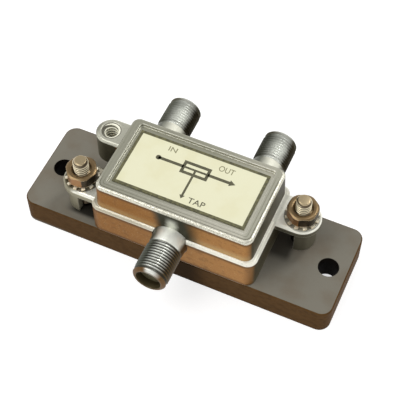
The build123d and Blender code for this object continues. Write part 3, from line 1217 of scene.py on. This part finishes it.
def link(name: str, data: bpy.types.ID) -> bpy.types.Object:
    """Makes an object of its data and links it into the scene.

    Args:
        name: the object's name.
        data: its mesh, text, lamp or camera.

    Returns:
        The object.
    """
    made = bpy.data.objects.new(name, data)
    bpy.context.scene.collection.objects.link(made)
    return made


def evaluated_mesh(holder: bpy.types.Object) -> bpy.types.Mesh:
    """Turns a text, or an object with modifiers, into a plain mesh.

    Args:
        holder: the object.

    Returns:
        The new mesh.
    """
    bpy.context.view_layer.update()
    graph = bpy.context.evaluated_depsgraph_get()
    return bpy.data.meshes.new_from_object(holder.evaluated_get(graph))


def settle(
    name: str, mesh: bpy.types.Mesh, finish: Finish, body: str, sharp: float
) -> bpy.types.Object:
    """Links a mesh into the scene, shades it and lets it ride.

    Args:
        name: the piece's name.
        mesh: its mesh, in metres, in the frame.
        finish: its finish.
        body: the body it rides on.
        sharp: edges steeper than this many degrees stay crisp.

    Returns:
        The new object.
    """
    piece = link(name, mesh)
    mesh.polygons.foreach_set("use_smooth", [True] * len(mesh.polygons))
    mesh.set_sharp_from_angle(angle=radians(sharp))
    mesh.materials.clear()
    mesh.materials.append(finish.material())
    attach(piece, body)
    log.info("built %s on %s, %d faces", name, body, len(mesh.polygons))
    return piece


# ---------------------------------------------------------------- sub-assemblies


class Side(Enum):
    """The two ears: name, the stud's x and y, and how far its nut is turned, in degrees."""

    LEFT = ("left", -28.8, -6.6, 7.3)
    RIGHT = ("right", 28.8, 5.7, 23.2)

    def __init__(self, word: str, x: float, y: float, turned: float) -> None:
        """Names the values, and keeps the stud's line."""
        self.word, self.x, self.y = word, x, y
        self.turn, self.axis = radians(turned), upright(x, y)


class PortKind(Enum):
    """The three ports: name, x, which way it points, seat plane, collar and thread lengths."""

    IN = ("in", -14.2875, 1, 12.05, 6.2, 9.5)
    OUT = ("out", 14.2875, 1, 12.05, 6.2, 9.5)
    TAP = ("tap", 0.0, -1, -12.95, 3.9, 9.9)

    def __init__(
        self, word: str, x: float, way: int, seat: float, collar: float, thread: float
    ) -> None:
        """Names the values."""
        self.word, self.x, self.way, self.seat = word, x, way, seat
        self.collar, self.tip = collar, collar + thread


@dataclass
class Ports:
    """The three threaded barrels with their insulators and contacts.

    A thread's run_in and run_out are how much it deepens for each mm from its ends.
    """

    height: float = 15.8
    collar_r: float = 4.95
    collar_tip_r: float = 4.6
    crest_r: float = 4.7625
    root_r: float = 4.28
    bore_r: float = 3.4
    spigot_r: float = 3.9
    spigot_l: float = 1.1
    nose_l: float = 1.0
    nose_r: float = 4.66
    run_in: float = 0.75
    run_out: float = 0.55
    columns: int = 80

    def barrel(self, port: PortKind) -> None:
        """Builds one barrel: spigot, collar, thread, rounded nose, mouth and bore.

        Args:
            port: which one.
        """
        seat, way, start, tip = port.seat, port.way, port.collar, port.tip
        end = tip - self.nose_l
        root, bore, neck, nose = self.root_r, self.bore_r, self.collar_tip_r, self.nose_r
        axis = Axis(
            Vector((port.x, seat, self.height)), Vector((0, way, 0)), Vector((0, 0, 1)),
            Vector((way, 0, 0)),
        )
        shell = Shell()
        shell.lathe(axis, [
            (bore, -self.spigot_l), (self.spigot_r, -self.spigot_l), (self.spigot_r, 0.0),
            (self.collar_r, 0.0), (self.collar_r - 0.02, 0.3), (neck + 0.02, start - 0.35),
            (neck - 0.02, start - 0.22), (root, start),
        ], self.columns)
        shell.lathe(axis, [
            (root, end), (nose - 0.1, end + 0.16), (nose - 0.02, end + 0.26),
            (nose - 0.06, tip - 0.62), (nose - 0.2, tip - 0.44), (nose - 0.45, tip - 0.2),
            (nose - 0.66, tip - 0.05), (nose - 0.85, tip), (bore + 0.14, tip),
            (bore + 0.05, tip - 0.06), (bore, tip - 0.2), (bore, tip - 1.4),
            (bore, -self.spigot_l),
        ], self.columns)

        def envelope(along: float) -> float:
            """The outside of the thread, run in at the collar and tapered at the nose."""
            rise, fall = (along - start) * self.run_in, (end - along) * self.run_out
            return root + min(rise, fall, self.crest_r - root)

        shell.thread(axis, vee(self.crest_r, root), start, end, envelope, self.columns)
        finish = replace(
            FRONT_BARREL if port is PortKind.TAP else BACK_BARREL,
            name=f"barrel_plating_{port.word}", axis_x=port.x, axis_z=self.height,
            root_r=root, crest_r=self.crest_r, seat_y=seat, thread_from=seat + way * start,
            thread_to=seat + way * end, tip_y=seat + way * tip,
        )
        piece = shell.piece(f"{port.word}_barrel", finish, "base", 42)
        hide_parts(f"port_{port.word}_barrel")

    def build(self) -> None:
        """Builds the barrels and dresses what is in them."""
        for port in PortKind:
            self.barrel(port)
            INSULATOR.dress(f"port_{port.word}_insulator")
            CONTACT_METAL.dress(f"port_{port.word}_contact")


@dataclass
class Fasteners:
    """A screw, a lock washer and a nut at each ear."""

    crest_r: float = 2.083
    root_r: float = 1.66
    top_z: float = 25.9
    crown_r: float = 1.5
    crown_h: float = 0.42
    head_r: float = 3.9
    head_low: float = 0.8
    head_high: float = 3.4
    thread_low: float = 9.0
    run_in: float = 0.8
    run_out: float = 1.1
    slot_w: float = 1.1
    slot_d: float = 1.2
    slot_turn: float = 35.0
    screw_columns: int = 64
    screw_sharp: float = 42.0
    washer_z: float = 18.2
    washer_t: float = 0.9
    washer_inner_r: float = 2.3
    washer_middle_r: float = 3.0
    washer_root_r: float = 3.7
    washer_r: float = 4.6
    washer_teeth: int = 12
    tooth_share: float = 0.55
    tip_share: float = 0.74
    tip_t: float = 0.4048
    root_lift: float = 0.35
    tip_lift: float = 0.98
    ring_t: float = 0.46
    nut_z: float = 19.1
    nut_h: float = 3.3
    nut_flats: float = 7.94
    nut_round_r: float = 4.2
    nut_top_r: float = 3.72
    nut_bore_r: float = 2.133
    nut_sink_r: float = 2.72
    nut_sink_h: float = 0.75
    nut_lead_in: float = 0.3
    nut_slope: float = 30.0
    nut_columns: int = 96

    def screw(self, side: Side) -> None:
        """Builds a screw: slotted head below, threaded shank, and a chamfered crown.

        Args:
            side: which ear it is in.
        """
        axis, count = side.axis, self.screw_columns
        crest, root, head, crown = self.crest_r, self.root_r, self.head_r, self.crown_r
        low, high, start, top = self.head_low, self.head_high, self.thread_low, self.top_z
        end = top - self.crown_h
        shell = Shell()
        shell.lathe(axis, [
            (0.0, low), (head - 0.5, low), (head - 0.2, low + 0.12), (head - 0.04, low + 0.4),
            (head, low + 0.8), (head, high - 0.15), (head - 0.15, high), (crest, high),
            (crest, start - 0.3), (root, start),
        ], count)

        def envelope(along: float) -> float:
            """The outside of the thread, run in above the shank and out at the crown."""
            return root + min((along - start) * self.run_in, (end - along) * self.run_out)

        shell.thread(axis, vee(crest, root), start, end, envelope, count)
        shell.lathe(axis, [
            (root, end), (root + 0.02, end + 0.12), (crown + 0.1, top - 0.1),
            (crown, top - 0.02), (crown - 0.14, top), (0.0, top),
        ], count)
        finish = replace(
            SCREW_PLATE, name=f"screw_plating_{side.word}", at=(side.x, side.y),
            crest_r=crest, root_r=root, top_z=top - 0.35,
        )
        piece = shell.piece(f"threaded_screw_{side.word}", finish, "base", self.screw_sharp)
        self.cut_slot(piece, axis)
        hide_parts(f"screw_{side.word}")

    def cut_slot(self, piece: bpy.types.Object, axis: Axis) -> None:
        """Cuts the driver's slot across a screw's head.

        Args:
            piece: the screw.
            axis: its line.
        """
        size = Vector((self.head_r * 2.4, self.slot_w, self.slot_d * 2)) * MM
        foot = Matrix.Translation((axis.origin + Vector((0, 0, self.head_low))) * MM)
        turn = Matrix.Rotation(radians(self.slot_turn), 4, "Z")
        work = bmesh.new()
        bmesh.ops.create_cube(work, size=1.0, matrix=foot @ turn @ Matrix.Diagonal((*size, 1.0)))
        mesh = bmesh_data("slot_cutter", work)
        cutter = link("slot_cutter", mesh)
        cut = piece.modifiers.new("slot", "BOOLEAN")
        cut.operation, cut.solver, cut.object = "DIFFERENCE", "EXACT", cutter
        shaped = evaluated_mesh(piece)
        piece.modifiers.clear()
        piece.data = shaped
        bpy.data.objects.remove(cutter)
        bpy.data.meshes.remove(mesh)
        shaped.set_sharp_from_angle(angle=radians(self.screw_sharp))

    def washer(self, side: Side) -> None:
        """Builds a lock washer: a flat ring with twisted teeth around it.

        Args:
            side: which ear it is on.
        """
        axis = side.axis
        in_tooth, in_gap = 4, 3
        per = in_tooth + in_gap
        pitch = 2 * pi / self.washer_teeth
        half = self.tooth_share * pitch / 2
        columns: list[tuple[float, float]] = []
        for tooth in range(self.washer_teeth):
            for i in range(in_tooth + 1):
                twist = 2 * i / in_tooth - 1
                columns.append((tooth * pitch + half * twist, twist))
            for i in range(1, in_gap):
                columns.append((tooth * pitch + half + (pitch - 2 * half) * i / in_gap, 0.0))
        middle_z = self.washer_z + self.washer_t / 2
        rise = (self.washer_t - self.ring_t) / 2
        shell = Shell()
        rims: dict[int, list[int]] = {}
        bores: dict[int, list[int]] = {}
        tips: dict[tuple[int, int], int] = {}
        for face in (-1, 1):
            rings = []
            for radius, lift in (
                (self.washer_inner_r, 0.0), (self.washer_middle_r, 0.0),
                (self.washer_root_r, self.root_lift * rise),
            ):
                z = middle_z + face * self.ring_t / 2
                rings.append([shell.point(axis.at(radius, a, z + lift * t)) for a, t in columns])
            bores[face], _, rims[face] = rings
            shell.bridge(rings[0], rings[1])
            shell.bridge(rings[1], rings[2])
            for i, (angle, twist) in enumerate(columns):
                if i % per <= in_tooth:
                    middle = i // per * pitch
                    narrow = middle + (angle - middle) * self.tip_share
                    z = middle_z + face * self.tip_t / 2 + rise * self.tip_lift * twist
                    tips[face, i] = shell.point(axis.at(self.washer_r, narrow, z))
        shell.bridge(bores[-1], bores[1])
        for i in range(len(columns)):
            j = (i + 1) % len(columns)
            if i % per < in_tooth:
                for face, rim in rims.items():
                    shell.faces.append((rim[i], rim[j], tips[face, j], tips[face, i]))
                shell.faces.append((tips[-1, i], tips[-1, j], tips[1, j], tips[1, i]))
            else:
                shell.faces.append((rims[-1][i], rims[-1][j], rims[1][j], rims[1][i]))
            if i % per in (0, in_tooth):
                shell.faces.append((rims[-1][i], tips[-1, i], tips[1, i], rims[1][i]))
        body = f"washer_{side.word}_body"
        piece = shell.piece(f"toothed_washer_{side.word}", WASHER_STEEL, body, 35)
        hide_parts(f"washer_{side.word}")

    def nut(self, side: Side) -> None:
        """Builds a nut: six flats, corners turned round at both ends, and a sunk bore.

        Args:
            side: which ear it is on.
        """
        low, top = self.nut_z, self.nut_z + self.nut_h
        bore, sink, face_r = self.nut_bore_r, self.nut_sink_r, self.nut_top_r
        slope, lead_in = tan(radians(self.nut_slope)), self.nut_lead_in

        def spot(radius: Optional[float], height: float, angle: float) -> Vector:
            """A point of a ring. A ring without a radius follows the flats, inside that end.

            Args:
                radius: the ring's radius.
                height: its height, or the height of the end it belongs to.
                angle: the angle from the nut's first corner.

            Returns:
                The point.
            """
            if radius is None:
                to_flat = self.nut_flats / 2 / cos(angle % (pi / 3) - pi / 6)
                radius = min(to_flat, self.nut_round_r)
                drop = (radius - face_r) * slope + 0.03
                height += drop if height == low else -drop
            return side.axis.at(radius, angle + side.turn, height)

        shell = Shell()
        rings = [
            [
                shell.point(spot(radius, height, 2 * pi * i / self.nut_columns))
                for i in range(self.nut_columns)
            ]
            for radius, height in (
                (bore, low + lead_in), (bore + lead_in, low), (face_r - 0.1, low),
                (face_r, low + 0.03),
                (None, low), (None, top), (face_r, top - 0.03), (face_r - 0.1, top),
                (sink + 0.08, top), (sink, top - 0.03), (bore + 0.02, top - self.nut_sink_h),
                (bore, top - self.nut_sink_h - 0.15),
            )
        ]
        for lower, upper in zip(rings, rings[1:] + rings[:1]):
            shell.bridge(lower, upper)
        piece = shell.piece(f"hex_nut_{side.word}", NUT_PLATE, f"nut_{side.word}_body", 24)
        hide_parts(f"nut_{side.word}")

    def build(self) -> None:
        """Builds the fasteners of both ears."""
        for side in Side:
            self.screw(side)
            self.washer(side)
            self.nut(side)


@dataclass
class Casting:
    """The housing, its tapped ground hole and its cover."""

    hole_x: float = -26.6
    hole_y: float = 6.7
    hole_low: float = 14.95
    hole_high: float = 23.86
    hole_lead: float = 1.0583
    mouth_z: float = 23.2
    outer_r: float = 2.04
    crest_r: float = 1.68
    run_out: float = 1.2
    columns: int = 64

    def hole_thread(self) -> None:
        """Builds the thread that lines the ground hole and runs out through its flared mouth."""
        axis = upright(self.hole_x, self.hole_y)
        outer, edge = self.outer_r, self.outer_r - 0.02
        high, low, mouth = self.hole_high, self.hole_low, self.mouth_z

        def flare(along: float) -> float:
            """How much wider the mouth is than the hole."""
            return max(0.0, along - mouth)

        shell = Shell()
        shell.lathe(axis, [
            (edge + flare(high), high), (outer + flare(high), high), (outer, mouth),
            (outer, low), (edge, low),
        ], self.columns)
        shell.thread(
            axis, vee(self.crest_r, edge - 0.01), low, high,
            lambda along: edge - min(along - low, high - along) * self.run_out,
            self.columns, self.hole_lead, inner=True, flare=flare,
        )
        finish = replace(HOLE_THREAD, at=(self.hole_x, self.hole_y), mouth_z=mouth)
        piece = shell.piece("ground_hole_thread", finish, "base", 42)

    def build(self) -> None:
        """Dresses the housing and cover and builds the tapped hole."""
        CASTING.dress("housing")
        COVER_STEEL.dress("cover_plate")
        self.hole_thread()


@dataclass
class Label:
    """The printed label: a cream field, port words and a line drawing of the tap.

    Each word has its lower left corner's x and y, its width and its height.
    """

    top_z: float = 26.0
    print_t: float = 0.02
    words: tuple[tuple[str, float, float, float, float], ...] = (
        ("IN", -9.3, 5.5, 2.3, 1.5),
        ("OUT", 5.2, 4.95, 4.3, 1.75),
        ("TAP", 1.9, -7.35, 4.7, 1.7),
    )
    stroke: float = 0.85
    thin: float = 0.7
    line_y: float = 2.5
    line_reach: float = 10.6
    box_x: float = 3.4
    box_y: float = 1.6
    branch_low: float = -6.9
    arrow_l: float = 1.1
    arrow_w: float = 1.9
    arrow_over: float = 0.5
    branch_arrow_w: float = 1.5
    spot_r: float = 0.72

    def word(self, text: str, *box: float) -> None:
        """Prints one word.

        Args:
            text: the word.
            box: its lower left corner's x and y, its width and its height.
        """
        name = f"print_{text.lower()}"
        curve = bpy.data.curves.new(name, "FONT")
        curve.body = text
        curve.offset = 0.004
        curve.resolution_u = 6
        curve.extrude = 0.5
        holder = link(name, curve)
        mesh = evaluated_mesh(holder)
        bpy.data.objects.remove(holder)
        bpy.data.curves.remove(curve)
        lows = [min(v.co[i] for v in mesh.vertices) for i in range(3)]
        highs = [max(v.co[i] for v in mesh.vertices) for i in range(3)]
        base, size = (*box[:2], self.top_z), (*box[2:], self.print_t)
        for vertex in mesh.vertices:
            shares = [(vertex.co[i] - lows[i]) / (highs[i] - lows[i]) for i in range(3)]
            vertex.co = [(b + share * s) * MM for b, share, s in zip(base, shares, size)]
        piece = settle(name, mesh, PRINT_DARK if text == "TAP" else PRINT_PALE, "base", 30)

    def shape(self, shell: Shell, outline: Profile) -> None:
        """Adds one flat printed shape.

        Args:
            shell: what it is added to.
            outline: its (x, y) corners.
        """
        low = [shell.point(Vector((x, y, self.top_z))) for x, y in outline]
        high = [shell.point(Vector((x, y, self.top_z + self.print_t))) for x, y in outline]
        shell.bridge(low, high)
        shell.faces += [tuple(high), tuple(reversed(low))]

    def drawing(self) -> None:
        """Prints the line drawing: a through line with a box, and a branch to the tap port."""
        shell = Shell()
        w, half, thin = self.stroke, self.stroke / 2, self.stroke * self.thin
        reach, y, box, low = self.line_reach, self.line_y, self.box_x, self.branch_low
        head, foot, arrow = y + self.box_y, y - self.box_y, self.arrow_l
        for x0, y0, x1, y1, width in (
            (-reach, y, -box, y, w), (box, y, reach - arrow, y, w),
            (-box - half, head, box + half, head, w), (-box - half, foot, box + half, foot, w),
            (-box, foot + half, -box, head - half, w), (box, foot + half, box, head - half, w),
            (-box + half, y, box - half, y, thin), (0.0, y - thin / 2, 0.0, foot + half, thin),
            (0.0, foot - half, 0.0, low + arrow, thin),
        ):
            run = Vector((x1 - x0, y1 - y0)).normalized() * width / 2
            self.shape(shell, [
                (x0 + run.y, y0 - run.x), (x1 + run.y, y1 - run.x),
                (x1 - run.y, y1 + run.x), (x0 - run.y, y0 + run.x),
            ])
        back, wide, narrow = reach - arrow, self.arrow_w / 2, self.branch_arrow_w / 2
        self.shape(shell, [(back, y - wide), (reach + self.arrow_over, y), (back, y + wide)])
        self.shape(shell, [(-narrow, low + arrow), (0.0, low), (narrow, low + arrow)])
        spots = [2 * pi * i / 32 for i in range(32)]
        self.shape(shell, [(self.spot_r * cos(a) - reach, y + self.spot_r * sin(a)) for a in spots])
        piece = shell.piece("print_drawing", PRINT_DARK, "base", 30)

    def build(self) -> None:
        """Dresses the label and prints on it."""
        LABEL_FOIL.dress("label_plate")
        for text, *box in self.words:
            self.word(text, *box)
        self.drawing()


@dataclass
class Inside:
    """What is in the housing: the board and the parts on it."""

    def build(self) -> None:
        """Dresses the board and its parts."""
        BOARD.dress("circuit_board")
        RESISTOR_BODY.dress("terminating_resistor")
        CAPACITOR_BODY.dress("capacitor_in", "capacitor_out", "capacitor_tap")
        FERRITE.dress("current_core", "voltage_core")
        COPPER_WIRE.dress("current_winding", "voltage_winding")


@dataclass
class BasePlate:
    """The plate that everything stands on."""

    def build(self) -> None:
        """Dresses the plate."""
        PLATE_COAT.dress("base_plate")


@dataclass
class Studio:
    """The floor, the light and the camera.

    Floor, lamps and the camera's near limit are in metres, its place and film in mm.
    """

    floor_half: float = 3.0
    floor_bright: Colour = ink(226, 226, 224)
    floor_shade: Colour = ink(196, 196, 196)
    floor_glow: float = 0.66
    key_at: tuple[float, ...] = (-0.35, -0.25, 0.7)
    key_size: Span = (0.5, 0.5)
    key_power: float = 2.4
    shine_at: tuple[float, ...] = (0.17, 0.30, 0.50)
    shine_size: Span = (0.10, 0.22)
    shine_power: float = 0.9
    zenith: float = 0.46
    horizon: float = 0.95
    aim_z: float = 0.015
    camera_at: tuple[float, ...] = (69.78, -147.55, 258.43)
    camera_right: tuple[float, ...] = (0.91140, 0.41151, -0.00318)
    camera_up: tuple[float, ...] = (-0.33980, 0.75689, 0.55826)
    camera_back: tuple[float, ...] = (0.23213, -0.50772, 0.82966)
    camera_lens: float = 99.67
    camera_film: float = 36.0
    camera_near: float = 0.01

    def floor(self) -> None:
        """Lays the pale floor. Seen directly or mirrored it is white, and it keeps the shadow."""
        mesh = bpy.data.meshes.new("floor")
        half = self.floor_half
        corners = [(-half, -half, 0), (half, -half, 0), (half, half, 0), (-half, half, 0)]
        mesh.from_pydata(corners, [], [(0, 1, 2, 3)])
        floor_object = link("floor", mesh)
        material = bpy.data.materials.new("floor_white")
        material.use_nodes = True
        graph = Graph(material.node_tree, "ShaderNodeOutputMaterial")
        path = graph.node("ShaderNodeLightPath")
        seen = path["Is Camera Ray"].most(path["Is Glossy Ray"]).most(path["Is Transmission Ray"])
        plain = graph.node("ShaderNodeBsdfDiffuse", None, {"Color": self.floor_bright})[0]
        shaded = graph.node("ShaderNodeBsdfDiffuse", None, {"Color": self.floor_shade})[0]
        sockets = {"Color": (1.0, 1.0, 1.0), "Strength": self.floor_glow}
        glow = graph.node("ShaderNodeEmission", None, sockets)[0]
        white = graph.node("ShaderNodeAddShader", None, {0: shaded, 1: glow})[0]
        graph.finish(graph.node("ShaderNodeMixShader", None, {0: seen, 1: plain, 2: white})[0])
        mesh.materials.append(material)

    def dome(self) -> None:
        """Surrounds the scene with soft light, brightest near the horizon."""
        world = bpy.data.worlds.new("dome")
        bpy.context.scene.world = world
        world.use_nodes = True
        graph = Graph(world.node_tree, "ShaderNodeOutputWorld")
        up = graph.split(graph.node("ShaderNodeTexCoord")["Generated"])[2]
        strength = self.horizon - (self.horizon - self.zenith) * up.clamped()
        sockets = {"Color": (1.0, 1.0, 1.0), "Strength": strength}
        graph.finish(graph.node("ShaderNodeBackground", None, sockets)[0])

    def lamp(self, name: str, at: Sequence[float], size: Span, power: float) -> None:
        """Hangs one soft rectangular lamp that points at the part.

        Args:
            name: the lamp's name.
            at: its place.
            size: its width and height.
            power: its power.
        """
        light = bpy.data.lights.new(name, "AREA")
        light.shape = "RECTANGLE"
        light.size, light.size_y = size
        light.energy = power
        holder = link(name, light)
        holder.location = at
        towards = Vector((0, 0, self.aim_z)) - Vector(at)
        holder.rotation_euler = towards.to_track_quat("-Z", "Y").to_euler()

    def camera(self) -> None:
        """Stands the camera where the picture is seen from."""
        lens = bpy.data.cameras.new("camera")
        lens.lens = self.camera_lens
        lens.sensor_width = self.camera_film
        lens.sensor_fit = "HORIZONTAL"
        lens.clip_start = self.camera_near
        holder = link("camera", lens)
        turn = Matrix((self.camera_right, self.camera_up, self.camera_back)).transposed()
        holder.matrix_world = Matrix.Translation(Vector(self.camera_at) * MM) @ turn.to_4x4()
        bpy.context.scene.camera = holder

    def build(self) -> None:
        """Sets up the stage."""
        self.camera()
        self.floor()
        self.dome()
        self.lamp("key", self.key_at, self.key_size, self.key_power)
        self.lamp("shine", self.shine_at, self.shine_size, self.shine_power)
        bpy.context.scene.view_settings.view_transform = "Standard"


def main() -> None:
    """Builds the stage and every sub-assembly, in order."""
    logging.basicConfig(level=logging.INFO, format="%(name)s: %(message)s")
    for part in (Studio(), BasePlate(), Casting(), Label(), Ports(), Fasteners(), Inside()):
        log.info("building %s", type(part).__name__)
        part.build()


if __name__ == "__main__":
    main()
